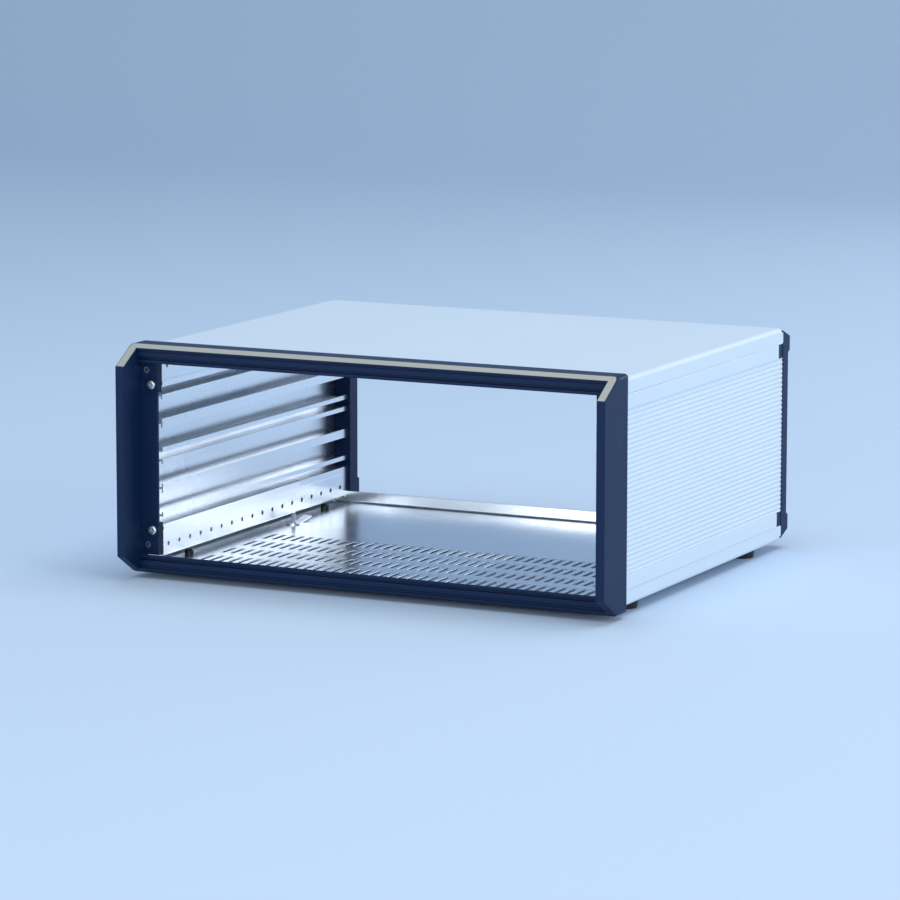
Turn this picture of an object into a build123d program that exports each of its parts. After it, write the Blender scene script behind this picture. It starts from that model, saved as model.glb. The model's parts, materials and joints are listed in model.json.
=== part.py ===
from build123d import *
from math import atan2, cos, hypot, radians, sin
import os

# Portable instrument case for plug-in electronics, open at the front and at the rear.
# X is the width, Y the depth with the open front at -Y, Z the height. All sizes are in millimetres.
# The origin lies on the floor under the middle of the outline.

# Body and general clearances
body_width = 363.0
body_height = 153.9
body_depth = 272.0
fit_gap = 0.1
thread_gap = 0.05

# Folded covers
sheet = 1.5
cover_bend = 3.0
cover_flange = 11.1
rear_flange = 9.8
cover_corner = 2.0

# Side panels, extruded along the depth
panel_crest = 0.3
panel_inner = 2.7
band_height = 10.25
flute_count = 34
flute_depth = 0.45
flute_land = 0.8
card_slot = 5.3
rib_wall = 1.5
lip_thick = 1.2
slot_lip = 3.2
tee_lip = 6.4
port_width = 5.2
port_height = 5.7
edge_margin = 7.2
edge_line = 4.8
edge_line_size = 0.6
row_pitch = 15.24
row_first = 7.2
row_end = 9.0
row_hole = 3.2
row_margin = 14.2

# Strips between the covers and the fluted faces
strip_proud = 0.5
strip_edge = 0.4
strip_back = 9.5

# Front cheeks
cheek_proud_x = 2.65
cheek_proud_z = 3.2
cheek_wall = 6.05
cheek_reach = 44.75
cheek_lap = 7.4
cheek_edge = 0.7
cheek_corner = 3.0
corner_round = 1.0
chamfer_depth = 22.6
chamfer_height = 13.9
seat_lap = 4.6

# Mounting flange inside each cheek
flange_setback = 26.25
flange_thick = 2.1
flange_land = 4.9
boss_height = 22.5
port_boss_d = 6.0
recess_d = 13.6
recess_depth = 1.2
insert_margin = 5.75
insert_inset = 7.1
insert_d = 4.2
insert_bore = 2.5
insert_length = 5.0

# Front rails
rail_setback = 18.05
rail_height = 13.15
bevel_lip = 0.7
band_setback = 2.8
band_drop = 1.8
face_forward = 0.8
face_height = 3.6
groove_depth = 2.6
groove_height = 2.0
rail_fall = 3.7
rail_wall = 1.1
spigot_length = 14.0

# Light inlay on the bevels
inlay_depth = 0.8
inlay_rim = 0.3
inlay_start = 0.8

# Rear trims
trim_land = 5.3
trim_depth = 10.5
trim_ear = 3.0
trim_ear_height = 10.4
trim_ear_step = 1.4
trim_end_gap = 1.7
trim_chamfer = 5.5
trim_edge = 1.0
lug_sink = 0.4

# Screws
port_screw_inset = 10.4
port_screw_margin = 15.9
large_shank = 3.4
large_head = 6.8
large_head_height = 2.2
large_screw_length = 16.0
cross_length = 4.2
cross_width = 1.0
cross_depth = 1.3
small_shank = 2.9
small_head = 5.4
small_head_height = 1.7
small_screw_length = 8.0
small_cross_length = 3.2
screw_hole_gap = 0.3
head_pocket_gap = 0.5
cover_screw_inset = 10.0
cover_screw_margin = 5.6

# Vent slots in the bottom cover
slot_width = 3.3
slot_length = 19.0
slot_pitch_x = 7.38
slot_pitch_y = 30.6
slot_side_margin = 30.0
slot_rows = 4
slot_last = 125.6

# Feet and their split rivets
foot_height = 6.7
foot_d = 17.6
foot_taper = 0.8
foot_edge = 0.6
foot_inset = 13.8
foot_front = 27.4
foot_rear = 39.0
rivet_shank = 4.8
rivet_head = 8.2
rivet_head_height = 1.4
rivet_pocket = 3.4
rivet_prong = 6.4
rivet_prong_height = 4.2
rivet_slit = 1.2

# Earth point on the bottom cover
stud_inset = 22.0
stud_rear = 104.0
stud_d = 3.0
stud_height = 8.5
stud_head = 6.0
stud_head_height = 0.8
stud_collar = 5.6
stud_collar_height = 0.5
tab_ring = 11.0
tab_thick = 0.8
tab_width = 6.3
tab_flat = 7.0
tab_length = 16.0
tab_angle = 8.0

# Stations worked out from the sizes above
half_width = body_width / 2
front_y = -(cheek_reach + body_depth + trim_depth + trim_ear) / 2
body_y = front_y + cheek_reach
rear_y = body_y + body_depth
cheek_rear_y = body_y - cheek_lap
seat_y = cheek_rear_y - seat_lap
piece_front_y = seat_y + fit_gap
trim_y = rear_y + trim_depth
ear_y = trim_y + trim_ear
bottom_z = foot_height
top_z = bottom_z + body_height
mid_z = bottom_z + body_height / 2
frame_height = body_height + 2 * cheek_proud_z
frame_top = mid_z + frame_height / 2
cheek_outer = half_width + cheek_proud_x
cheek_inner = cheek_outer - cheek_wall
panel_face = half_width - panel_crest
panel_back = half_width - panel_inner
panel_skin = half_width - sheet - fit_gap
bend_inner = cover_bend - sheet
fluted_height = body_height - 2 * (cover_flange + band_height)
band_offset = body_height / 2 - cover_flange - band_height / 2
middle = Plane.XY.offset(mid_z)

# Clear opening between the rails, and the screws and inserts set out from it
rail_bottom = frame_top - rail_height
rail_opening = 2 * (rail_bottom - mid_z)
insert_spacing = rail_opening - 2 * insert_margin
insert_x = half_width - insert_inset
port_spacing = rail_opening - 2 * port_screw_margin
port_x = half_width - port_screw_inset
flange_inner = port_x - flange_land
trim_inner = port_x - trim_land
cover_screw_x = half_width - cover_screw_inset

# Ribs of the side panels, cut back behind the front rails and before the rear flanges of the covers
rib_front_y = cheek_rear_y + fit_gap
rib_rear_y = rear_y - sheet - fit_gap
rib_face_x = port_x - port_width / 2
rib_depth = panel_back - rib_face_x
rib_x = (rib_face_x + panel_back) / 2
lip_x = rib_face_x + lip_thick / 2
card_pitch = (port_spacing - port_height - card_slot) / 2

# The chamfer of the frame runs up and back from the front edge
chamfer_angle = atan2(chamfer_height, chamfer_depth)
chamfer_length = hypot(chamfer_height, chamfer_depth)
chamfer_low_z = frame_top - chamfer_height
chamfer_top_y = front_y + chamfer_depth
rail_front_y = front_y + rail_setback
bevel_length = (chamfer_depth - rail_setback) / cos(chamfer_angle)
bevel_low_z = frame_top - bevel_length * sin(chamfer_angle)
chamfer_plane = Plane(
    origin=(0, front_y, chamfer_low_z),
    x_dir=(1, 0, 0),
    z_dir=(0, -sin(chamfer_angle), cos(chamfer_angle)),
)
inlay_low = chamfer_length - bevel_length + inlay_rim
inlay_high = chamfer_length - inlay_rim
inlay_outer = cheek_outer - cheek_edge - thread_gap

# Rail section, from its front nose back to the body; its inner face falls away towards the rear
band_y = rail_front_y + band_setback
face_y = band_y - face_forward
groove_y = face_y + groove_depth
rail_slope = rail_fall / (cheek_rear_y - face_y)
chamber_front = groove_y + rail_wall
chamber_rear = cheek_rear_y - rail_wall
chamber_low = rail_bottom + rail_slope * (chamber_rear - face_y) + rail_wall
chamber_high = top_z - sheet - fit_gap - rail_wall
chamber_y = (chamber_front + chamber_rear) / 2
chamber_z = (chamber_low + chamber_high) / 2

# Mounting flange planes
flange_front_y = front_y + flange_setback
flange_rear_y = flange_front_y + flange_thick
corner_signs = [(-1, -1), (1, -1), (-1, 1), (1, 1)]


def facing(x, y, z, direction):
    """Place for a screw at a point, with its head turned towards -Y or +Y."""
    return Plane(origin=(x, y, z), x_dir=(1, 0, 0), z_dir=(0, direction, 0)).location


def cross_screw(head, head_height, shank, length, cross):
    """Cross-head screw that stands on its head plane, with the shank pointing down."""
    with BuildPart() as screw:
        Cylinder(shank / 2, length, align=(Align.CENTER, Align.CENTER, Align.MAX))
        Cylinder(head / 2, head_height, align=(Align.CENTER, Align.CENTER, Align.MIN))
        chamfer(screw.edges().group_by(Axis.Z)[-1], head_height / 3, head_height / 2)
        with BuildSketch(Plane.XY.offset(head_height)):
            Rectangle(cross, cross_width)
            Rectangle(cross_width, cross)
        extrude(amount=-cross_depth, mode=Mode.SUBTRACT)
    return screw.part


def folded_cover():
    """Channel with two side flanges and a turned-up rear flange, relieved at its rear corners."""
    fold_y = rear_y - cover_bend
    fold_x = half_width - cover_bend
    with BuildPart() as cover:
        with BuildSketch(Plane.XZ.offset(-fold_y)) as channel:
            with Locations((0, bottom_z + cover_flange / 2)):
                Rectangle(body_width, cover_flange)
            fillet(channel.vertices().group_by(Axis.Y)[0], cover_bend)
            with Locations((0, bottom_z + sheet + cover_flange)):
                RectangleRounded(body_width - 2 * sheet, 2 * cover_flange, bend_inner, mode=Mode.SUBTRACT)
        extrude(amount=fold_y - piece_front_y)
        with BuildSketch(Plane.YZ.offset(-fold_x)):
            with BuildLine():
                outer = FilletPolyline(
                    (fold_y - sheet, bottom_z),
                    (rear_y, bottom_z),
                    (rear_y, bottom_z + rear_flange),
                    radius=cover_bend,
                )
                inner = FilletPolyline(
                    (fold_y - sheet, bottom_z + sheet),
                    (rear_y - sheet, bottom_z + sheet),
                    (rear_y - sheet, bottom_z + rear_flange),
                    radius=bend_inner,
                )
                Line(outer @ 0, inner @ 0)
                Line(outer @ 1, inner @ 1)
            make_face()
        extrude(amount=2 * fold_x)
        for side in (-1, 1):
            with BuildSketch(Plane.XZ.offset(-rear_y)):
                with Locations((side * (half_width - sheet / 2), bottom_z + (cover_flange + cover_bend) / 2)):
                    Rectangle(sheet, cover_flange - cover_bend)
            extrude(amount=cover_bend)
        rear_corners = cover.edges().filter_by(Axis.X).group_by(Axis.Z)[-1].group_by(Axis.Y)[-1]
        fillet(rear_corners, cover_corner)
        with BuildSketch(Plane.XZ.offset(-rear_y)):
            with Locations(*[(side * cover_screw_x, bottom_z + cover_screw_margin) for side in (-1, 1)]):
                Circle(small_shank / 2 + thread_gap)
        extrude(amount=sheet, mode=Mode.SUBTRACT)
    return cover.part


# Top cover: the folded cover turned over
with BuildPart() as top_cover:
    mirror(folded_cover(), about=middle)

# Bottom cover: vent slots, rivet holes and the hole of the earth stud
slot_centre_y = body_y + slot_last - slot_length / 2 - slot_pitch_y * (slot_rows - 1) / 2
slot_columns = int((body_width - 2 * slot_side_margin) / slot_pitch_x) + 1
foot_x = half_width - foot_inset
foot_places = [(side * foot_x, y) for y in (body_y + foot_front, rear_y - foot_rear) for side in (-1, 1)]
stud_x = stud_inset - half_width
stud_y = rear_y - stud_rear
stud_place = (stud_x, stud_y)
with BuildPart() as bottom_cover:
    add(folded_cover())
    with BuildSketch(Plane.XY.offset(bottom_z)):
        with Locations((0, slot_centre_y)):
            with GridLocations(slot_pitch_x, slot_pitch_y, slot_columns, slot_rows):
                Rectangle(slot_width, slot_length)
        with Locations(*foot_places):
            Circle(rivet_shank / 2 + fit_gap)
        with Locations(stud_place):
            Circle(stud_d / 2 + thread_gap)
    extrude(amount=sheet, mode=Mode.SUBTRACT)

# Right side panel: one extrusion with card slots, ribs, screw ports and a fluted outer face
flute_pitch = fluted_height / flute_count
flute_chord = flute_pitch - flute_land
flute_radius = flute_chord ** 2 / (8 * flute_depth) + flute_depth / 2
edge_start = card_pitch + card_slot / 2
edge_height = body_height / 2 - edge_margin - edge_start
edge_spacing = 2 * edge_start + edge_height
row_count = int((rib_rear_y - rib_front_y - row_first - row_end) / row_pitch) + 1
with BuildPart() as side_panel_right:
    with BuildSketch(Plane.XZ.offset(-rear_y)):
        # Outer wall and its fluted face
        with Locations(((panel_back + panel_skin) / 2, mid_z)):
            Rectangle(panel_skin - panel_back, body_height - 2 * (cover_bend + fit_gap))
        with Locations(((panel_skin + panel_face) / 2, mid_z)):
            Rectangle(panel_face - panel_skin, fluted_height)
        with Locations((panel_face - flute_depth + flute_radius, mid_z)):
            with GridLocations(0, flute_pitch, 1, flute_count):
                Circle(flute_radius, mode=Mode.SUBTRACT)
        # Hollow edges that carry the rows of holes, each with a fine line along it
        with Locations((rib_x, mid_z)):
            with GridLocations(0, edge_spacing, 1, 2):
                Rectangle(rib_depth, edge_height)
        with Locations((rib_x + rib_wall / 2, mid_z)):
            with GridLocations(0, edge_spacing, 1, 2):
                Rectangle(rib_depth - rib_wall, edge_height - 2 * rib_wall, mode=Mode.SUBTRACT)
        with Locations((rib_face_x, mid_z)):
            with GridLocations(0, 2 * (edge_start + edge_line), 1, 2):
                Rectangle(edge_line_size, edge_line_size, mode=Mode.SUBTRACT)
        # Walls of the card slots and tees between them, with their lips
        with Locations((rib_x, mid_z)):
            with GridLocations(0, card_pitch, 1, 3):
                Rectangle(rib_depth, card_slot + 2 * rib_wall)
            with GridLocations(0, card_pitch, 1, 2):
                Rectangle(rib_depth, rib_wall)
        with Locations((lip_x, mid_z)):
            with GridLocations(0, card_pitch, 1, 3):
                Rectangle(lip_thick, card_slot + 2 * slot_lip)
            with GridLocations(0, card_pitch, 1, 2):
                Rectangle(lip_thick, tee_lip)
        with Locations((rib_x, mid_z)):
            with GridLocations(0, card_pitch, 1, 3):
                Rectangle(rib_depth, card_slot, mode=Mode.SUBTRACT)
        # Screw ports that run through the whole length
        with Locations((port_x, mid_z)):
            with GridLocations(0, port_spacing, 1, 2):
                Rectangle(port_width - edge_line_size, port_height)
                Circle(large_shank / 2 + thread_gap, mode=Mode.SUBTRACT)
    extrude(amount=rear_y - piece_front_y)
    for cut_start, cut_end in ((piece_front_y, rib_front_y), (rib_rear_y, rear_y)):
        with BuildSketch(Plane.XZ.offset(-cut_end)):
            with Locations((rib_x, mid_z)):
                Rectangle(rib_depth, body_height)
        extrude(amount=cut_end - cut_start, mode=Mode.SUBTRACT)
    with BuildSketch(Plane.YZ.offset(rib_face_x)):
        with Locations((rib_front_y + row_first + row_pitch * (row_count - 1) / 2, mid_z)):
            with GridLocations(row_pitch, body_height - 2 * row_margin, row_count, 2):
                Circle(row_hole / 2)
    extrude(amount=rib_wall, mode=Mode.SUBTRACT)
with BuildPart() as side_panel_left:
    mirror(side_panel_right.part, about=Plane.YZ)


def side_strip(side, level):
    """Flat strip along the joint of a cover and a side panel; side and level are -1 or 1."""
    inner_x = panel_skin
    outer_x = half_width + strip_proud
    with BuildPart() as strip:
        with BuildSketch(Plane.XZ.offset(strip_back - rear_y)) as section:
            with Locations((side * (inner_x + outer_x) / 2, mid_z + level * band_offset)):
                Rectangle(outer_x - inner_x, band_height - 2 * fit_gap)
            fillet(section.vertices().sort_by(lambda v: -side * v.X)[:2], strip_edge)
        extrude(amount=rear_y - strip_back - cheek_rear_y - fit_gap)
    return strip.part


def frame_strip(corners, outer):
    """Strip let into the upper chamfer plane and cut to the rounded corners of the frame."""
    with BuildPart() as strip:
        with BuildSketch(chamfer_plane):
            with BuildLine():
                Polyline(*corners, close=True)
            make_face()
        extrude(amount=-inlay_depth)
        with BuildSketch(Plane.XZ.offset(-cheek_rear_y)):
            with Locations((0, mid_z)):
                RectangleRounded(2 * outer, frame_height, cheek_corner)
        extrude(amount=cheek_rear_y - front_y, mode=Mode.INTERSECT)
    return strip.part


# Right front cheek: side plate with a chamfered nose, mounting flange, bosses and rail spigots
with BuildPart() as front_cheek_right:
    with BuildSketch(Plane.YZ.offset(cheek_inner)) as side_profile:
        with BuildLine():
            upper = Polyline(
                (front_y, mid_z),
                (front_y, chamfer_low_z),
                (chamfer_top_y, frame_top),
                (cheek_rear_y, frame_top),
                (cheek_rear_y, mid_z),
            )
            mirror(upper, about=Plane.XZ.offset(-mid_z))
        make_face()
        nose_corners = side_profile.vertices().filter_by_position(
            Axis.X, front_y - fit_gap, chamfer_top_y + fit_gap
        )
        fillet(nose_corners.filter_by(lambda v: abs(v.Y - mid_z) > fit_gap), corner_round)
    extrude(amount=cheek_wall)
    fillet(front_cheek_right.faces().sort_by(Axis.X)[-1].edges(), cheek_edge)
    # Rounded outer corners, seen from the front
    with BuildSketch(Plane.XZ.offset(-cheek_rear_y)):
        with Locations((0, mid_z)):
            RectangleRounded(2 * cheek_outer, frame_height, cheek_corner)
    extrude(amount=cheek_rear_y - front_y, mode=Mode.INTERSECT)
    # Pocket for the ends of the covers and the side panel
    with BuildSketch(Plane.XZ.offset(-cheek_rear_y)):
        with Locations((0, mid_z)):
            RectangleRounded(body_width + 2 * fit_gap, body_height + 2 * fit_gap, cover_bend + fit_gap)
    extrude(amount=seat_lap, mode=Mode.SUBTRACT)
    # Flange with its two bosses
    flange_span = rail_opening + 2 * rail_slope * (flange_front_y - face_y) - 2 * fit_gap
    flange_x = (flange_inner + cheek_inner) / 2
    with BuildSketch(Plane.XZ.offset(-flange_rear_y)):
        with Locations((flange_x, mid_z)):
            Rectangle(cheek_inner - flange_inner, flange_span)
    extrude(amount=flange_thick)
    with BuildSketch(Plane.XZ.offset(-seat_y)):
        with Locations((flange_x, mid_z)):
            with GridLocations(0, flange_span - boss_height, 1, 2):
                Rectangle(cheek_inner - flange_inner, boss_height)
    extrude(amount=seat_y - flange_rear_y)
    with BuildSketch(Plane.XZ.offset(fit_gap - rib_front_y)):
        with Locations((port_x, mid_z)):
            with GridLocations(0, port_spacing, 1, 2):
                Circle(port_boss_d / 2)
    extrude(amount=rib_front_y - fit_gap - seat_y)
    # Screw recesses, screw holes and insert holes
    with BuildSketch(Plane.XZ.offset(-flange_front_y)):
        with Locations((port_x, mid_z)):
            with GridLocations(0, port_spacing, 1, 2):
                Circle(recess_d / 2)
    extrude(amount=-recess_depth, mode=Mode.SUBTRACT)
    with BuildSketch(Plane.XZ.offset(-rib_front_y)):
        with Locations((port_x, mid_z)):
            with GridLocations(0, port_spacing, 1, 2):
                Circle((large_shank + screw_hole_gap) / 2)
        with Locations((insert_x, mid_z)):
            with GridLocations(0, insert_spacing, 1, 2):
                Circle(insert_d / 2 + thread_gap)
    extrude(amount=rib_front_y - flange_front_y, mode=Mode.SUBTRACT)
    # Spigots that enter the rails and hold them between the two cheeks
    with BuildSketch(Plane.XZ.offset(fit_gap - chamber_rear)):
        with Locations((cheek_inner - spigot_length / 2, mid_z)):
            with GridLocations(0, 2 * (chamber_z - mid_z), 1, 2):
                Rectangle(spigot_length, chamber_high - chamber_low - 2 * fit_gap)
    extrude(amount=chamber_rear - chamber_front - 2 * fit_gap)
    # Seat of the light inlay on the upper chamfer
    seat_outer = inlay_outer + thread_gap
    seat_corners = [
        (cheek_inner, inlay_start),
        (seat_outer, inlay_start),
        (seat_outer, inlay_high),
        (cheek_inner, inlay_high),
    ]
    add(frame_strip(seat_corners, seat_outer), mode=Mode.SUBTRACT)
with BuildPart() as front_cheek_left:
    mirror(front_cheek_right.part, about=Plane.YZ)


def rail_blank():
    """Upper rail between the cheeks, with a slot for the cover and a chamber for the spigots."""
    band_top = bevel_low_z - bevel_lip
    band_low = band_top - band_drop
    groove_top = band_low - face_height
    groove_low = groove_top - groove_height
    rail_length = 2 * (cheek_inner - fit_gap)
    with BuildPart() as rail:
        with BuildSketch(Plane.YZ.offset(-rail_length / 2)):
            with BuildLine():
                Polyline(
                    (cheek_rear_y, frame_top),
                    (chamfer_top_y, frame_top),
                    (rail_front_y, bevel_low_z),
                    (rail_front_y, band_top),
                    (band_y, band_top),
                    (band_y, band_low),
                    (face_y, band_low),
                    (face_y, groove_top),
                    (groove_y, groove_top),
                    (groove_y, groove_low),
                    (face_y, groove_low),
                    (face_y, rail_bottom),
                    (cheek_rear_y, rail_bottom + rail_fall),
                    close=True,
                )
            make_face()
            with Locations(((seat_y + cheek_rear_y) / 2, top_z - sheet / 2)):
                Rectangle(seat_lap, sheet + 2 * fit_gap, mode=Mode.SUBTRACT)
            with Locations((chamber_y, chamber_z)):
                Rectangle(chamber_rear - chamber_front, chamber_high - chamber_low, mode=Mode.SUBTRACT)
        extrude(amount=rail_length)
    return rail.part


# Top rail with the seat of its inlay, and the plain bottom rail
with BuildPart() as front_rail_top:
    add(rail_blank())
    with BuildSketch(chamfer_plane):
        with Locations((0, (inlay_low + inlay_high) / 2)):
            Rectangle(2 * cheek_inner, inlay_high - inlay_low)
    extrude(amount=-inlay_depth, mode=Mode.SUBTRACT)
with BuildPart() as front_rail_bottom:
    mirror(rail_blank(), about=middle)

# Inlay in three strips with mitred corners, flush with the bevels
top_corners = [
    (-cheek_inner, inlay_low),
    (cheek_inner, inlay_low),
    (inlay_outer, inlay_high),
    (-inlay_outer, inlay_high),
]
side_corners = [
    (cheek_inner, inlay_start),
    (inlay_outer, inlay_start),
    (inlay_outer, inlay_high),
    (cheek_inner, inlay_low),
]
with BuildPart() as inlay_top:
    add(frame_strip(top_corners, inlay_outer))
with BuildPart() as inlay_right:
    add(frame_strip(side_corners, inlay_outer))
with BuildPart() as inlay_left:
    mirror(inlay_right.part, about=Plane.YZ)

# Rear trims: solid ends with two ears, lugs into the strip notches and screw pockets
pocket_depth = trim_depth / 2
cover_screw_spacing = body_height - 2 * cover_screw_margin
with BuildPart() as rear_trim_right:
    with BuildSketch(Plane.YZ.offset(trim_inner)):
        with BuildLine():
            ear_top = top_z - trim_end_gap - trim_chamfer
            ear_low = ear_top - trim_ear_height
            upper = Polyline(
                (rear_y, mid_z),
                (rear_y, top_z - trim_end_gap),
                (ear_y, ear_top),
                (ear_y, ear_low),
                (trim_y, ear_low - trim_ear_step),
                (trim_y, mid_z),
            )
            mirror(upper, about=Plane.XZ.offset(-mid_z))
        make_face()
    extrude(amount=half_width - trim_inner)
    fillet(rear_trim_right.faces().sort_by(Axis.X)[-1].edges().filter_by_position(
        Axis.Y, trim_y - fit_gap, ear_y + fit_gap), trim_edge)
    with BuildSketch(Plane.YZ.offset(panel_skin)):
        with Locations((rear_y - strip_back / 2 + fit_gap / 2, mid_z)):
            with GridLocations(0, 2 * band_offset, 1, 2):
                Rectangle(strip_back - fit_gap, band_height - 2 * fit_gap)
    extrude(amount=half_width - lug_sink - panel_skin)
    # Pad between the rear flanges of the covers, up to the ends of the ribs
    with BuildSketch(Plane.XZ.offset(-rear_y)):
        with Locations(((trim_inner + panel_back - fit_gap) / 2, mid_z)):
            Rectangle(panel_back - fit_gap - trim_inner, body_height - 2 * (rear_flange + fit_gap))
    extrude(amount=rear_y - rib_rear_y - fit_gap)
    # Pockets and holes for the screws
    with BuildSketch(Plane.XZ.offset(-ear_y)):
        with Locations((port_x, mid_z)):
            with GridLocations(0, port_spacing, 1, 2):
                Circle((large_head + head_pocket_gap) / 2)
        with Locations((cover_screw_x, mid_z)):
            with GridLocations(0, cover_screw_spacing, 1, 2):
                Circle((small_head + head_pocket_gap) / 2)
    extrude(amount=ear_y - rear_y - pocket_depth, mode=Mode.SUBTRACT)
    with BuildSketch(Plane.XZ.offset(-rear_y - pocket_depth)):
        with Locations((port_x, mid_z)):
            with GridLocations(0, port_spacing, 1, 2):
                Circle((large_shank + screw_hole_gap) / 2)
        with Locations((cover_screw_x, mid_z)):
            with GridLocations(0, cover_screw_spacing, 1, 2):
                Circle((small_shank + screw_hole_gap) / 2)
    extrude(amount=rear_y + pocket_depth - rib_rear_y, mode=Mode.SUBTRACT)
with BuildPart() as rear_trim_left:
    mirror(rear_trim_right.part, about=Plane.YZ)

# Screws, four of each
large_screw = cross_screw(large_head, large_head_height, large_shank, large_screw_length, cross_length)
small_screw = cross_screw(small_head, small_head_height, small_shank, small_screw_length, small_cross_length)


def screw_set(screw, x, y, rise, direction):
    """Four screws at the corners of a rectangle about the middle of the case."""
    with BuildPart() as group:
        with Locations(*[facing(a * x, y, mid_z + b * rise, direction) for a, b in corner_signs]):
            add(screw)
    return group.part


head_seat_y = flange_front_y + recess_depth
trim_seat_y = rear_y + pocket_depth
cheek_screws = screw_set(large_screw, port_x, head_seat_y, port_spacing / 2, -1)
rear_trim_screws = screw_set(large_screw, port_x, trim_seat_y, port_spacing / 2, 1)
cover_screws = screw_set(small_screw, cover_screw_x, trim_seat_y, cover_screw_spacing / 2, 1)

# Threaded inserts for a front panel
with BuildPart() as panel_inserts:
    with BuildSketch(Plane.XZ.offset(-flange_front_y - insert_length)):
        with Locations((0, mid_z)):
            with GridLocations(2 * insert_x, insert_spacing, 2, 2):
                Circle(insert_d / 2)
                Circle(insert_bore / 2, mode=Mode.SUBTRACT)
    extrude(amount=insert_length)

# Foot: tapered disc with a pocket for the rivet head
with BuildPart() as foot_master:
    with BuildSketch():
        Circle(foot_d / 2 - foot_taper)
    with BuildSketch(Plane.XY.offset(foot_height)):
        Circle(foot_d / 2)
    loft()
    fillet(foot_master.edges().group_by(Axis.Z)[0], foot_edge)
    CounterBoreHole(
        rivet_shank / 2 + fit_gap,
        rivet_head / 2 + fit_gap,
        rivet_pocket,
        depth=foot_height,
    )

# Split rivet: head in the foot, shank through the cover, two prongs above it
with BuildPart() as rivet_master:
    with Locations((0, 0, rivet_pocket - rivet_head_height)):
        Cylinder(rivet_head / 2, rivet_head_height, align=(Align.CENTER, Align.CENTER, Align.MIN))
    shank_length = foot_height - rivet_pocket + sheet
    with Locations((0, 0, rivet_pocket)):
        Cylinder(rivet_shank / 2, shank_length, align=(Align.CENTER, Align.CENTER, Align.MIN))
    with Locations((0, 0, foot_height + sheet)):
        Cylinder(rivet_prong / 2, rivet_prong_height, align=(Align.CENTER, Align.CENTER, Align.MIN))
    chamfer(rivet_master.edges().group_by(Axis.Z)[-1], rivet_prong / 5)
    with Locations((0, 0, foot_height + sheet)):
        Box(
            rivet_slit,
            rivet_prong + fit_gap,
            rivet_prong_height,
            align=(Align.CENTER, Align.CENTER, Align.MIN),
            mode=Mode.SUBTRACT,
        )
with BuildPart() as foot_rivets:
    with Locations(*foot_places):
        add(rivet_master.part)

# Earth stud pressed into the bottom cover, with a collar over the tab
floor_z = bottom_z + sheet
with BuildPart() as earth_stud:
    with Locations((*stud_place, bottom_z - stud_head_height)):
        Cylinder(stud_head / 2, stud_head_height, align=(Align.CENTER, Align.CENTER, Align.MIN))
    with Locations((*stud_place, bottom_z)):
        Cylinder(stud_d / 2, sheet + stud_height, align=(Align.CENTER, Align.CENTER, Align.MIN))
    chamfer(earth_stud.edges().group_by(Axis.Z)[-1], stud_d / 8)
    with Locations((*stud_place, floor_z + tab_thick)):
        Cylinder(stud_collar / 2, stud_collar_height, align=(Align.CENTER, Align.CENTER, Align.MIN))

# Earth tab: ring on the floor and a blade that rises towards the rear
with BuildPart() as earth_tab:
    with BuildSketch(Plane.XY.offset(floor_z)):
        with Locations(stud_place):
            Circle(tab_ring / 2)
        with Locations((stud_x, stud_y + tab_flat / 2)):
            Rectangle(tab_width, tab_flat)
    extrude(amount=tab_thick)
    bend_y = stud_y + tab_flat
    rise_angle = radians(tab_angle)
    with BuildSketch(Plane.YZ.offset(stud_x - tab_width / 2)):
        with BuildLine():
            blade_foot = Vector(bend_y, floor_z)
            along = Vector(cos(rise_angle), sin(rise_angle)) * tab_length
            across = Vector(-sin(rise_angle), cos(rise_angle)) * tab_thick
            Polyline(
                blade_foot,
                blade_foot + along,
                blade_foot + along + across,
                blade_foot + across,
                (bend_y - tab_thick, floor_z + tab_thick),
                (bend_y - tab_thick, floor_z),
                close=True,
            )
        make_face()
    extrude(amount=tab_width)
    with BuildSketch(Plane.XY.offset(floor_z)):
        with Locations(stud_place):
            Circle(stud_d / 2 + thread_gap)
    extrude(amount=tab_thick, mode=Mode.SUBTRACT)

# Every piece under its own name
pieces = {
    "top_cover": top_cover.part,
    "bottom_cover": bottom_cover.part,
    "side_panel_left": side_panel_left.part,
    "side_panel_right": side_panel_right.part,
    "side_strip_upper_left": side_strip(-1, 1),
    "side_strip_lower_left": side_strip(-1, -1),
    "side_strip_upper_right": side_strip(1, 1),
    "side_strip_lower_right": side_strip(1, -1),
    "front_cheek_left": front_cheek_left.part,
    "front_cheek_right": front_cheek_right.part,
    "front_rail_top": front_rail_top.part,
    "front_rail_bottom": front_rail_bottom.part,
    "inlay_left": inlay_left.part,
    "inlay_top": inlay_top.part,
    "inlay_right": inlay_right.part,
    "cheek_screws": cheek_screws,
    "panel_inserts": panel_inserts.part,
    "rear_trim_left": rear_trim_left.part,
    "rear_trim_right": rear_trim_right.part,
    "rear_trim_screws": rear_trim_screws,
    "cover_screws": cover_screws,
    "foot_rivets": foot_rivets.part,
    "earth_stud": earth_stud.part,
    "earth_tab": earth_tab.part,
}
foot_names = ["foot_front_left", "foot_front_right", "foot_rear_left", "foot_rear_right"]
for foot_name, place in zip(foot_names, foot_places):
    with BuildPart() as foot:
        with Locations(place):
            add(foot_master.part)
    pieces[foot_name] = foot.part

os.makedirs("parts", exist_ok=True)
for piece_name, piece in pieces.items():
    piece.label = piece_name
    export_step(piece, f"parts/{piece_name}.step")
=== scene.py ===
import json
from math import cos, pi, radians, sin

import bmesh
import bpy
from mathutils import Matrix, Vector

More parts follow.
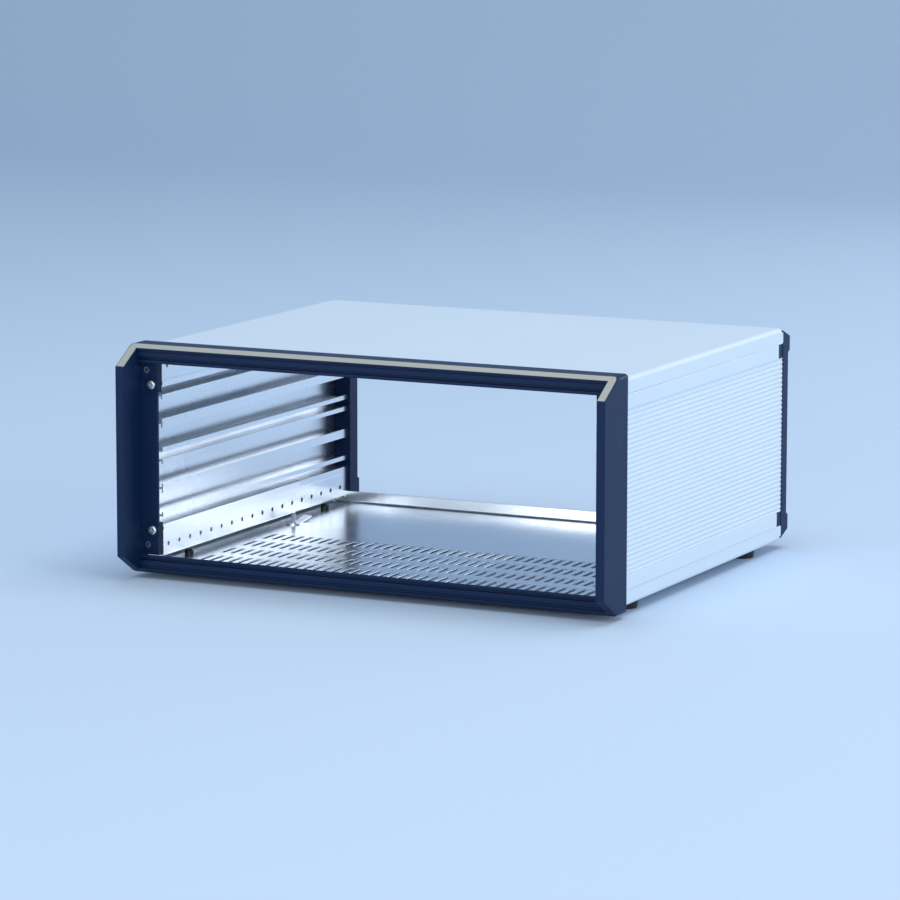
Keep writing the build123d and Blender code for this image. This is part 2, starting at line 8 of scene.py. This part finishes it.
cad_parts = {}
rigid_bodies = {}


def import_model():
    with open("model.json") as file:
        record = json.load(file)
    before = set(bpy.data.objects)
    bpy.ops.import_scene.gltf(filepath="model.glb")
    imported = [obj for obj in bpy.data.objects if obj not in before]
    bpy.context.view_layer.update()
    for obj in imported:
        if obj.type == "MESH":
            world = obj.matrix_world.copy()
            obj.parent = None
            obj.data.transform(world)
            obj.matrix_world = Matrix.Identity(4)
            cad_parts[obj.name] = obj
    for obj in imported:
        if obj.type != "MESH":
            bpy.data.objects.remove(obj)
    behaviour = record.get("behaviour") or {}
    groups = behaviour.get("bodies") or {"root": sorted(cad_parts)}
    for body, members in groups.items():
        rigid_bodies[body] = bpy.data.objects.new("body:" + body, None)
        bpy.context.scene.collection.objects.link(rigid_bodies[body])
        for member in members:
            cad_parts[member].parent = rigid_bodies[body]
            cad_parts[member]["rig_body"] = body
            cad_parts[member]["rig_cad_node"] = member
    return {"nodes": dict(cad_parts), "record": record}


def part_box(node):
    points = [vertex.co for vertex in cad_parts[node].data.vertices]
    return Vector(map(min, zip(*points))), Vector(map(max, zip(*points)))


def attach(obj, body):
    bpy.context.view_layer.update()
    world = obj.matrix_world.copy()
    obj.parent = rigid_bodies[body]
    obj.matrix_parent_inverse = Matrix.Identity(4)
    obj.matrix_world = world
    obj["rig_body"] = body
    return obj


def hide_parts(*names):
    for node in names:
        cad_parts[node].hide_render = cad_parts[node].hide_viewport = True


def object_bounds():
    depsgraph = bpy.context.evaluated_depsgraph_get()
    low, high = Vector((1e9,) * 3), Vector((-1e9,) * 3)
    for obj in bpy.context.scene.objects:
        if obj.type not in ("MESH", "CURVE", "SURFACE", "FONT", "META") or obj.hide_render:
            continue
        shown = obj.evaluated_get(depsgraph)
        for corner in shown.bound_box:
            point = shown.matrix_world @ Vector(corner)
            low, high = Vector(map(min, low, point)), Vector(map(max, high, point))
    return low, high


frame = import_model()
cad_low, cad_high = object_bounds()

MM = 0.001

# Camera, fitted to the edges of the case: place and reach in metres, angles in degrees,
# lens and sensor in millimetres
CAMERA_PLACE = (1.3548, -2.78679, 0.58179)
CAMERA_YAW = 26.075
CAMERA_PITCH = 9.174
CAMERA_ROLL = 0.061
CAMERA_LENS = 178.474
CAMERA_SENSOR = 36.0
CAMERA_REACH = 50.0

# Middle of the covered body, read from the frame
COVER_LOW, COVER_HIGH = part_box("bottom_cover")
CASE_CENTRE = (0.0, (COVER_LOW.y + COVER_HIGH.y) / 2, (cad_low.z + cad_high.z) / 2)

# Colours, as linear values
PAINT_GREY = (0.64, 0.74, 0.85, 1.0)
PAINT_SHADE = (0.60, 0.705, 0.82, 1.0)
BARE_LIGHT = (0.88, 0.92, 0.96, 1.0)
BARE_SHADE = (0.76, 0.81, 0.87, 1.0)
SLATE = (0.0035, 0.021, 0.074, 1.0)
SLATE_SHADE = (0.0025, 0.016, 0.060, 1.0)
INLAY_GREY = (0.40, 0.415, 0.37, 1.0)
INLAY_SHADE = (0.35, 0.365, 0.33, 1.0)
ZINC = (0.86, 0.90, 0.92, 1.0)
ZINC_SHADE = (0.74, 0.79, 0.83, 1.0)
RUBBER = (0.006, 0.007, 0.010, 1.0)
RUBBER_SHADE = (0.010, 0.011, 0.014, 1.0)
FLOOR_PALE = (0.53, 0.66, 0.82, 1.0)
WORLD_PALE = (0.66, 0.79, 0.95, 1.0)
WORLD_STRENGTH = 0.58
SIDE_LIGHT = (1.0, 0.985, 0.90)

# Finishes: roughness from low to high, grain scale, gloss, and the noise that spans the roughness
PAINT_ROUGH = (0.42, 0.55)
PAINT_GRAIN = 1400.0
SLATE_GLOSS = 0.2
NOISE_LOW, NOISE_HIGH = 0.3, 0.7

# Easing of sharp edges
MERGE = 0.002 * MM
NEARLY_FLAT = radians(0.5)
SHARP = radians(40)
EASE_ROOM = 3
EASE_STEPS = 2
EASE_SMOOTH = radians(50)

# Screws: sizes, turns of the four in a group in degrees, and shank diameter over point height
LARGE_SCREW = {"head": 6.8 * MM, "height": 2.2 * MM, "shank": 3.4 * MM, "cross": 4.2 * MM}
SMALL_SCREW = {"head": 5.4 * MM, "height": 1.7 * MM, "shank": 2.9 * MM, "cross": 3.2 * MM}
SCREW_TURNS = (8, 52, 31, 74)
SCREW_POINT = 6
SCREW_SMOOTH = radians(35)
STUD_SMOOTH = radians(25)

# How squarely a face looks up or down to be picked as an end face
FACING = 0.9


def deselect():
    """Leaves nothing selected, in object mode."""
    if bpy.context.object and bpy.context.object.mode != "OBJECT":
        bpy.ops.object.mode_set(mode="OBJECT")
    bpy.ops.object.select_all(action="DESELECT")


def pick(piece):
    """Makes a piece the only selected and active object."""
    deselect()
    piece.select_set(True)
    bpy.context.view_layer.objects.active = piece


# Shared effects, as node groups
GROUP_OUTPUTS = [
    ("Color", "NodeSocketColor"),
    ("Roughness", "NodeSocketFloat"),
    ("Height", "NodeSocketFloat"),
]


def new_group(name, inputs, outputs):
    """Node group with its inputs and outputs, and the nodes at its two ends."""
    group = bpy.data.node_groups.new(name, "ShaderNodeTree")
    for label, kind, value in inputs:
        socket = group.interface.new_socket(name=label, in_out="INPUT", socket_type=kind)
        socket.default_value = value
    for label, kind in outputs:
        group.interface.new_socket(name=label, in_out="OUTPUT", socket_type=kind)
    start = group.nodes.new("NodeGroupInput")
    end = group.nodes.new("NodeGroupOutput")
    return group, start, end


def surface_grain():
    """Fine grain and slow cloudiness on Object coordinates: a tone, a roughness and a height."""
    group, start, end = new_group(
        "surface_grain",
        [
            ("Tone A", "NodeSocketColor", PAINT_GREY),
            ("Tone B", "NodeSocketColor", PAINT_SHADE),
            ("Grain Scale", "NodeSocketFloat", 900.0),
            ("Cloud Scale", "NodeSocketFloat", 9.0),
            ("Rough Low", "NodeSocketFloat", 0.4),
            ("Rough High", "NodeSocketFloat", 0.5),
        ],
        GROUP_OUTPUTS,
    )
    link = group.links.new
    place = group.nodes.new("ShaderNodeTexCoord")
    grain = group.nodes.new("ShaderNodeTexNoise")
    grain.inputs["Detail"].default_value = 3.0
    cloud = group.nodes.new("ShaderNodeTexNoise")
    cloud.inputs["Detail"].default_value = 2.0
    tone = group.nodes.new("ShaderNodeMix")
    tone.data_type = "RGBA"
    rough = group.nodes.new("ShaderNodeMapRange")
    link(place.outputs["Object"], grain.inputs["Vector"])
    link(place.outputs["Object"], cloud.inputs["Vector"])
    link(start.outputs["Grain Scale"], grain.inputs["Scale"])
    link(start.outputs["Cloud Scale"], cloud.inputs["Scale"])
    link(cloud.outputs["Fac"], tone.inputs["Factor"])
    link(start.outputs["Tone A"], tone.inputs["A"])
    link(start.outputs["Tone B"], tone.inputs["B"])
    link(grain.outputs["Fac"], rough.inputs["Value"])
    rough.inputs["From Min"].default_value = NOISE_LOW
    rough.inputs["From Max"].default_value = NOISE_HIGH
    link(start.outputs["Rough Low"], rough.inputs["To Min"])
    link(start.outputs["Rough High"], rough.inputs["To Max"])
    link(tone.outputs["Result"], end.inputs["Color"])
    link(rough.outputs["Result"], end.inputs["Roughness"])
    link(grain.outputs["Fac"], end.inputs["Height"])
    return group


def drawn_lines():
    """Streaks along the depth of the case, as on drawn metal: a tone, a roughness and a height."""
    group, start, end = new_group(
        "drawn_lines",
        [
            ("Tone A", "NodeSocketColor", BARE_LIGHT),
            ("Tone B", "NodeSocketColor", BARE_SHADE),
            ("Line Scale", "NodeSocketFloat", 260.0),
            ("Stretch", "NodeSocketFloat", 0.02),
            ("Rough Low", "NodeSocketFloat", 0.20),
            ("Rough High", "NodeSocketFloat", 0.28),
        ],
        GROUP_OUTPUTS,
    )
    link = group.links.new
    place = group.nodes.new("ShaderNodeTexCoord")
    squeeze = group.nodes.new("ShaderNodeCombineXYZ")
    squeeze.inputs["X"].default_value = 1.0
    squeeze.inputs["Z"].default_value = 1.0
    stretch = group.nodes.new("ShaderNodeVectorMath")
    stretch.operation = "MULTIPLY"
    streak = group.nodes.new("ShaderNodeTexNoise")
    streak.inputs["Detail"].default_value = 4.0
    cloud = group.nodes.new("ShaderNodeTexNoise")
    cloud.inputs["Scale"].default_value = 14.0
    tone = group.nodes.new("ShaderNodeMix")
    tone.data_type = "RGBA"
    rough = group.nodes.new("ShaderNodeMapRange")
    rough.inputs["From Min"].default_value = NOISE_LOW
    rough.inputs["From Max"].default_value = NOISE_HIGH
    link(start.outputs["Stretch"], squeeze.inputs["Y"])
    link(place.outputs["Object"], stretch.inputs[0])
    link(squeeze.outputs["Vector"], stretch.inputs[1])
    link(stretch.outputs["Vector"], streak.inputs["Vector"])
    link(place.outputs["Object"], cloud.inputs["Vector"])
    link(start.outputs["Line Scale"], streak.inputs["Scale"])
    link(streak.outputs["Fac"], tone.inputs["Factor"])
    link(start.outputs["Tone A"], tone.inputs["A"])
    link(start.outputs["Tone B"], tone.inputs["B"])
    link(cloud.outputs["Fac"], rough.inputs["Value"])
    link(start.outputs["Rough Low"], rough.inputs["To Min"])
    link(start.outputs["Rough High"], rough.inputs["To Max"])
    link(tone.outputs["Result"], end.inputs["Color"])
    link(rough.outputs["Result"], end.inputs["Roughness"])
    link(streak.outputs["Fac"], end.inputs["Height"])
    return group


def outward_mask():
    """1 on faces that look away from the middle of the case, 0 on faces that look into it."""
    group, start, end = new_group(
        "outward_mask",
        [("Centre", "NodeSocketVector", (0.0, 0.0, 0.0))],
        [("Mask", "NodeSocketFloat")],
    )
    link = group.links.new
    place = group.nodes.new("ShaderNodeTexCoord")
    facing = group.nodes.new("ShaderNodeNewGeometry")
    away = group.nodes.new("ShaderNodeVectorMath")
    away.operation = "SUBTRACT"
    dot = group.nodes.new("ShaderNodeVectorMath")
    dot.operation = "DOT_PRODUCT"
    step = group.nodes.new("ShaderNodeMath")
    step.operation = "GREATER_THAN"
    step.inputs[1].default_value = 0.0
    link(place.outputs["Object"], away.inputs[0])
    link(start.outputs["Centre"], away.inputs[1])
    link(away.outputs["Vector"], dot.inputs[0])
    link(facing.outputs["True Normal"], dot.inputs[1])
    link(dot.outputs["Value"], step.inputs[0])
    link(step.outputs["Value"], end.inputs["Mask"])
    return group


GRAIN = surface_grain()
LINES = drawn_lines()
OUTWARD = outward_mask()


def place_group(material, group, values):
    """Group placed in a material, with that material's own values."""
    node = material.node_tree.nodes.new("ShaderNodeGroup")
    node.node_tree = group
    for label, value in values.items():
        node.inputs[label].default_value = value
    return node


def new_material(name):
    """Material with nodes, and its shader."""
    material = bpy.data.materials.new(name)
    material.use_nodes = True
    return material, material.node_tree.nodes["Principled BSDF"]


def add_bump(material, shader, height, strength, distance):
    """Fine relief on a shader, from a height."""
    bump = material.node_tree.nodes.new("ShaderNodeBump")
    bump.inputs["Strength"].default_value = strength
    bump.inputs["Distance"].default_value = distance
    material.node_tree.links.new(height, bump.inputs["Height"])
    material.node_tree.links.new(bump.outputs["Normal"], shader.inputs["Normal"])


def grained(name, tones, rough, grain, bump, metallic=0.0, gloss=0.5):
    """Material whose whole surface is one grained finish."""
    material, shader = new_material(name)
    shader.inputs["Metallic"].default_value = metallic
    shader.inputs["Specular IOR Level"].default_value = gloss
    group = place_group(
        material,
        GRAIN,
        {
            "Tone A": tones[0],
            "Tone B": tones[1],
            "Grain Scale": grain,
            "Rough Low": rough[0],
            "Rough High": rough[1],
        },
    )
    link = material.node_tree.links.new
    link(group.outputs["Color"], shader.inputs["Base Color"])
    link(group.outputs["Roughness"], shader.inputs["Roughness"])
    add_bump(material, shader, group.outputs["Height"], bump, 0.1 * MM)
    return material


def painted_outside(name, stretch, rough):
    """Bare drawn metal inside the case and pale paint on the faces that look outwards."""
    material, shader = new_material(name)
    link = material.node_tree.links.new
    paint = place_group(
        material,
        GRAIN,
        {"Grain Scale": PAINT_GRAIN, "Rough Low": PAINT_ROUGH[0], "Rough High": PAINT_ROUGH[1]},
    )
    metal = place_group(
        material,
        LINES,
        {"Stretch": stretch, "Rough Low": rough[0], "Rough High": rough[1]},
    )
    side = place_group(material, OUTWARD, {"Centre": CASE_CENTRE})
    tone = material.node_tree.nodes.new("ShaderNodeMix")
    tone.data_type = "RGBA"
    link(side.outputs["Mask"], tone.inputs["Factor"])
    link(metal.outputs["Color"], tone.inputs["A"])
    link(paint.outputs["Color"], tone.inputs["B"])
    link(tone.outputs["Result"], shader.inputs["Base Color"])
    dullness = material.node_tree.nodes.new("ShaderNodeMix")
    link(side.outputs["Mask"], dullness.inputs["Factor"])
    link(metal.outputs["Roughness"], dullness.inputs["A"])
    link(paint.outputs["Roughness"], dullness.inputs["B"])
    link(dullness.outputs["Result"], shader.inputs["Roughness"])
    bare = material.node_tree.nodes.new("ShaderNodeMath")
    bare.operation = "SUBTRACT"
    bare.inputs[0].default_value = 1.0
    link(side.outputs["Mask"], bare.inputs[1])
    link(bare.outputs["Value"], shader.inputs["Metallic"])
    height = material.node_tree.nodes.new("ShaderNodeMix")
    link(side.outputs["Mask"], height.inputs["Factor"])
    link(metal.outputs["Height"], height.inputs["A"])
    link(paint.outputs["Height"], height.inputs["B"])
    add_bump(material, shader, height.outputs["Result"], 0.06, 0.06 * MM)
    return material


COVER_FINISH = painted_outside("painted_sheet", stretch=0.5, rough=(0.20, 0.27))
EXTRUSION_FINISH = painted_outside("painted_extrusion", stretch=0.02, rough=(0.24, 0.33))
STRIP_FINISH = grained(
    "pale_paint", (PAINT_GREY, PAINT_SHADE), rough=PAINT_ROUGH, grain=PAINT_GRAIN, bump=0.12
)
CASTING_FINISH = grained(
    "slate_casting",
    (SLATE, SLATE_SHADE),
    rough=(0.42, 0.58),
    grain=1100.0,
    bump=0.35,
    gloss=SLATE_GLOSS,
)
RAIL_FINISH = grained(
    "slate_rail",
    (SLATE, SLATE_SHADE),
    rough=(0.34, 0.46),
    grain=1500.0,
    bump=0.15,
    gloss=SLATE_GLOSS,
)
INLAY_FINISH = grained(
    "inlay", (INLAY_GREY, INLAY_SHADE), rough=(0.35, 0.5), grain=1500.0, bump=0.15
)
ZINC_FINISH = grained(
    "bright_zinc", (ZINC, ZINC_SHADE), rough=(0.24, 0.36), grain=700.0, bump=0.04, metallic=1.0
)
RUBBER_FINISH = grained(
    "black_rubber", (RUBBER, RUBBER_SHADE), rough=(0.6, 0.75), grain=1200.0, bump=0.3
)
PLASTIC_FINISH = grained(
    "black_plastic", (RUBBER, RUBBER_SHADE), rough=(0.3, 0.42), grain=1500.0, bump=0.15
)

FINISHES = {
    "painted_cover": COVER_FINISH,
    "bare_floor": COVER_FINISH,
    "side_extrusion": EXTRUSION_FINISH,
    "painted_strip": STRIP_FINISH,
    "dark_casting": CASTING_FINISH,
    "dark_rail": RAIL_FINISH,
    "light_inlay": INLAY_FINISH,
    "bright_screw": ZINC_FINISH,
    "bright_stud": ZINC_FINISH,
    "black_rubber": RUBBER_FINISH,
    "black_plastic": PLASTIC_FINISH,
}
SLOT_OF = {row["node"]: row["material_slot"] for row in frame["record"]["subparts"]}


def finish_of(node):
    """Finish of a CAD node, by its slot in the record."""
    return FINISHES[SLOT_OF[node]]


for node_name, node_piece in frame["nodes"].items():
    node_piece.data.materials.clear()
    node_piece.data.materials.append(finish_of(node_name))


def mark_edges(piece, test):
    """Selects the edges of a piece in edit mode that pass a test, and nothing else."""
    bpy.ops.mesh.select_mode(type="EDGE")
    bpy.ops.mesh.select_all(action="DESELECT")
    mesh = bmesh.from_edit_mesh(piece.data)
    for edge in mesh.edges:
        edge.select_set(test(edge))
    bmesh.update_edit_mesh(piece.data)


def mark_faces(piece, test):
    """Selects the faces of a piece in edit mode that pass a test, and nothing else."""
    bpy.ops.mesh.select_mode(type="FACE")
    bpy.ops.mesh.select_all(action="DESELECT")
    mesh = bmesh.from_edit_mesh(piece.data)
    for face in mesh.faces:
        face.select_set(test(face))
    bmesh.update_edit_mesh(piece.data)


def dress(piece, node):
    """Finished piece that stands for a CAD node, with that node's finish."""
    piece.name = node + "_dressed"
    piece.data.name = piece.name
    piece.data.materials.clear()
    piece.data.materials.append(finish_of(node))
    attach(piece, "root")
    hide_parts(node)


# Cast, extruded and folded pieces, with their long sharp edges eased
def eased(node, width, shortest):
    """Copy of a CAD node with a small round along each sharp edge whose faces have room for it."""
    pick(frame["nodes"][node])
    bpy.ops.object.duplicate()
    piece = bpy.context.object
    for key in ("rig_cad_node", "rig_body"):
        if key in piece:
            del piece[key]
    piece.parent = None
    bpy.ops.object.mode_set(mode="EDIT")
    bpy.ops.mesh.select_all(action="SELECT")
    bpy.ops.mesh.remove_doubles(threshold=MERGE)
    bpy.ops.mesh.dissolve_limited(angle_limit=NEARLY_FLAT)

    def sharp(edge):
        if len(edge.link_faces) != 2 or edge.calc_length() < shortest:
            return False
        room = min(face.calc_area() for face in edge.link_faces) / edge.calc_length()
        return edge.calc_face_angle() > SHARP and room > EASE_ROOM * width

    mark_edges(piece, sharp)
    bpy.ops.mesh.bevel(offset=width, segments=EASE_STEPS, affect="EDGES", clamp_overlap=False)
    bpy.ops.mesh.select_all(action="SELECT")
    bpy.ops.mesh.remove_doubles(threshold=MERGE)
    bpy.ops.mesh.dissolve_degenerate(threshold=MERGE)
    bpy.ops.object.mode_set(mode="OBJECT")
    bpy.ops.object.shade_smooth_by_angle(angle=EASE_SMOOTH)
    bpy.ops.object.modifier_add(type="WEIGHTED_NORMAL")
    flat = piece.modifiers[-1]
    flat.weight = 100
    flat.keep_sharp = True
    bpy.ops.object.modifier_apply(modifier=flat.name)
    dress(piece, node)


# Cross-head screws
def cut_wing(screw, top, length, width, depth, turn):
    """Cuts one tapered wing of the cross out of a screw head."""
    bpy.ops.mesh.primitive_cube_add(size=1.0, location=(0, 0, top))
    wing = bpy.context.object
    bpy.ops.object.mode_set(mode="EDIT")
    bpy.ops.transform.resize(value=(length, width, 2 * depth), center_override=(0, 0, top))
    mark_faces(wing, lambda face: face.normal.z < -FACING)
    taper = (0.45, 0.7, 1.0)
    bpy.ops.transform.resize(value=taper, center_override=(0, 0, top))
    bpy.ops.object.mode_set(mode="OBJECT")
    wing.rotation_euler.z = turn
    pick(screw)
    bpy.ops.object.modifier_add(type="BOOLEAN")
    cut = screw.modifiers[-1]
    cut.operation = "DIFFERENCE"
    cut.object = wing
    bpy.ops.object.modifier_apply(modifier=cut.name)
    pick(wing)
    bpy.ops.object.delete()
    pick(screw)


def pan_screw(head, height, shank, length, cross):
    """Screw with a domed head and a cross recess; the head stands on the XY plane."""
    point, dome = shank / SCREW_POINT, 0.5 * height
    deselect()
    bpy.ops.mesh.primitive_cylinder_add(
        vertices=48, radius=head / 2, depth=height, location=(0, 0, height / 2)
    )
    screw = bpy.context.object
    bpy.ops.object.transform_apply(location=True)
    bpy.ops.object.mode_set(mode="EDIT")
    mark_faces(screw, lambda face: face.normal.z < -FACING)
    bpy.ops.mesh.inset(thickness=(head - shank) / 2)
    bpy.ops.mesh.extrude_region_move(TRANSFORM_OT_translate={"value": (0, 0, -length)})
    bpy.ops.mesh.inset(thickness=point)
    bpy.ops.transform.translate(value=(0, 0, -point))
    mark_edges(screw, lambda edge: min(v.co.z for v in edge.verts) > 0.99 * height)
    bpy.ops.mesh.bevel(offset=dome, segments=5, affect="EDGES")
    bpy.ops.object.mode_set(mode="OBJECT")
    for turn in (0.0, pi / 2):
        cut_wing(screw, height, cross, cross / 4, 0.55 * height, turn)
    bpy.ops.object.shade_smooth_by_angle(angle=SCREW_SMOOTH)
    return screw


def screw_group(node, direction, head, height, shank, cross):
    """Four screws in the places of a CAD node, each turned differently; direction is -1 or 1."""
    low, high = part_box(node)
    seat_y = (low.y if direction < 0 else high.y) - direction * height
    length = high.y - low.y - height - shank / SCREW_POINT
    master = pan_screw(head, height, shank, length, cross)
    screws = []
    columns = (low.x + head / 2, high.x - head / 2)
    rows = (low.z + head / 2, high.z - head / 2)
    places = [(x, z) for z in rows for x in columns]
    for (x, z), turn in zip(places, SCREW_TURNS):
        pick(master)
        bpy.ops.object.duplicate()
        screw = bpy.context.object
        tilt = Matrix.Rotation(-direction * pi / 2, 4, "X")
        spin = Matrix.Rotation(radians(turn), 4, "Z")
        screw.matrix_world = Matrix.Translation((x, seat_y, z)) @ tilt @ spin
        bpy.ops.object.transform_apply(location=True, rotation=True)
        screws.append(screw)
    pick(master)
    bpy.ops.object.delete()
    for screw in screws:
        screw.select_set(True)
    bpy.context.view_layer.objects.active = screws[0]
    bpy.ops.object.join()
    dress(bpy.context.object, node)


# Earth stud
def threaded_stud(node, head, shank, collar):
    """Stud with a pressed head under the floor, a collar and a threaded shank."""
    low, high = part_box(node)
    centre = ((low.x + high.x) / 2, (low.y + high.y) / 2)
    head_height, through, collar_height, pitch = 0.8 * MM, 2.3 * MM, 0.5 * MM, 0.5 * MM
    thread_root, tip = 0.86, 0.7
    deselect()
    place = (*centre, low.z + head_height / 2)
    bpy.ops.mesh.primitive_cylinder_add(
        vertices=40, radius=head / 2, depth=head_height, location=place
    )
    stud = bpy.context.object
    bpy.ops.object.transform_apply(location=True)
    bpy.ops.object.mode_set(mode="EDIT")
    mark_faces(stud, lambda face: face.normal.z > FACING)

    def rise(height, scale=1.0):
        bpy.ops.mesh.extrude_region_move(TRANSFORM_OT_translate={"value": (0, 0, height)})
        bpy.ops.transform.resize(value=(scale, scale, 1.0), center_override=(*centre, 0.0))

    bpy.ops.mesh.inset(thickness=(head - shank) / 2)
    rise(through)
    rise(0.0, collar / shank)
    rise(collar_height)
    bpy.ops.mesh.inset(thickness=(collar - shank) / 2)
    top = low.z + head_height + through + collar_height
    turns = int((high.z - top) / pitch) - 1
    for _ in range(turns):
        rise(pitch / 2, thread_root)
        rise(pitch / 2, 1 / thread_root)
    rise(high.z - top - pitch * turns, tip)
    bpy.ops.object.mode_set(mode="OBJECT")
    bpy.ops.object.shade_smooth_by_angle(angle=STUD_SMOOTH)
    dress(stud, node)


for rail in ("front_rail_top", "front_rail_bottom"):
    eased(rail, width=0.25 * MM, shortest=100 * MM)
for casting in ("front_cheek_left", "front_cheek_right"):
    eased(casting, width=0.2 * MM, shortest=5 * MM)
for trim in ("rear_trim_left", "rear_trim_right"):
    eased(trim, width=0.35 * MM, shortest=5 * MM)
for level in ("upper", "lower"):
    for side in ("left", "right"):
        eased(f"side_strip_{level}_{side}", width=0.2 * MM, shortest=5 * MM)
eased("top_cover", width=0.25 * MM, shortest=2.5 * MM)
eased("bottom_cover", width=0.35 * MM, shortest=2.5 * MM)
screw_group("cheek_screws", direction=-1, **LARGE_SCREW)
screw_group("rear_trim_screws", direction=1, **LARGE_SCREW)
screw_group("cover_screws", direction=1, **SMALL_SCREW)
threaded_stud("earth_stud", head=6.0 * MM, shank=3.0 * MM, collar=5.6 * MM)


def lamp(name, place, target, size, power, colour=(1.0, 1.0, 1.0)):
    """Area lamp of a given width and height, in metres and watts, that the camera doesn't see."""
    data = bpy.data.lights.new(name, "AREA")
    data.energy = power
    data.color = colour
    data.shape = "RECTANGLE"
    data.size, data.size_y = size
    piece = bpy.data.objects.new(name, data)
    bpy.context.scene.collection.objects.link(piece)
    piece.location = place
    piece.rotation_euler = (Vector(target) - Vector(place)).to_track_quat("-Z", "Y").to_euler()
    piece.visible_camera = False


def studio():
    """Pale floor that curves up into a backdrop, soft lamps and a pale world."""
    floor_mesh = bpy.data.meshes.new("studio_floor")
    floor = bpy.data.objects.new("studio_floor", floor_mesh)
    bpy.context.scene.collection.objects.link(floor)
    half, front, back, height, bend, steps = 16.0, -16.0, 4.0, 5.0, 1.5, 12
    profile = [(front, 0.0)]
    for k in range(steps + 1):
        angle = pi / 2 * k / steps
        profile.append((back - bend + bend * sin(angle), bend - bend * cos(angle)))
    profile.append((back, height))
    builder = bmesh.new()
    rows = [[builder.verts.new((x, y, z)) for y, z in profile] for x in (-half, half)]
    for k in range(len(profile) - 1):
        builder.faces.new((rows[0][k], rows[1][k], rows[1][k + 1], rows[0][k + 1]))
    builder.to_mesh(floor_mesh)
    builder.free()
    for face in floor_mesh.polygons:
        face.use_smooth = True
    material, shader = new_material("pale_floor")
    shader.inputs["Base Color"].default_value = FLOOR_PALE
    shader.inputs["Roughness"].default_value = 0.9
    floor_mesh.materials.append(material)
    world = bpy.data.worlds.new("studio_world")
    world.use_nodes = True
    background = world.node_tree.nodes["Background"]
    background.inputs["Color"].default_value = WORLD_PALE
    background.inputs["Strength"].default_value = WORLD_STRENGTH
    bpy.context.scene.world = world
    lamp("key", place=(0.5, 0.1, 3.0), target=(0, 0, 0.05), size=(2.4, 2.4), power=48.0)
    lamp(
        "side",
        place=(2.8, -0.3, 0.9),
        target=(0, 0, 0.08),
        size=(2.4, 1.6),
        power=29.5,
        colour=SIDE_LIGHT,
    )
    lamp("front", place=(0.0, -2.4, 0.6), target=(0, 0.1, 0.06), size=(4.0, 0.6), power=20.0)
    lamp("rear", place=(0.85, 2.1, 0.6), target=(-0.1, 0.1, 0.05), size=(1.6, 0.9), power=7.0)


def camera():
    """Camera at the viewing angle of the photograph."""
    data = bpy.data.cameras.new("camera")
    data.lens = CAMERA_LENS
    data.sensor_width = CAMERA_SENSOR
    data.clip_end = CAMERA_REACH
    piece = bpy.data.objects.new("camera", data)
    bpy.context.scene.collection.objects.link(piece)
    yaw = Matrix.Rotation(radians(CAMERA_YAW), 4, "Z")
    pitch = Matrix.Rotation(radians(90 - CAMERA_PITCH), 4, "X")
    roll = Matrix.Rotation(radians(CAMERA_ROLL), 4, "Z")
    piece.rotation_euler = (yaw @ pitch @ roll).to_euler()
    piece.location = CAMERA_PLACE
    bpy.context.scene.camera = piece


studio()
camera()
bpy.context.scene.view_settings.view_transform = "Standard"
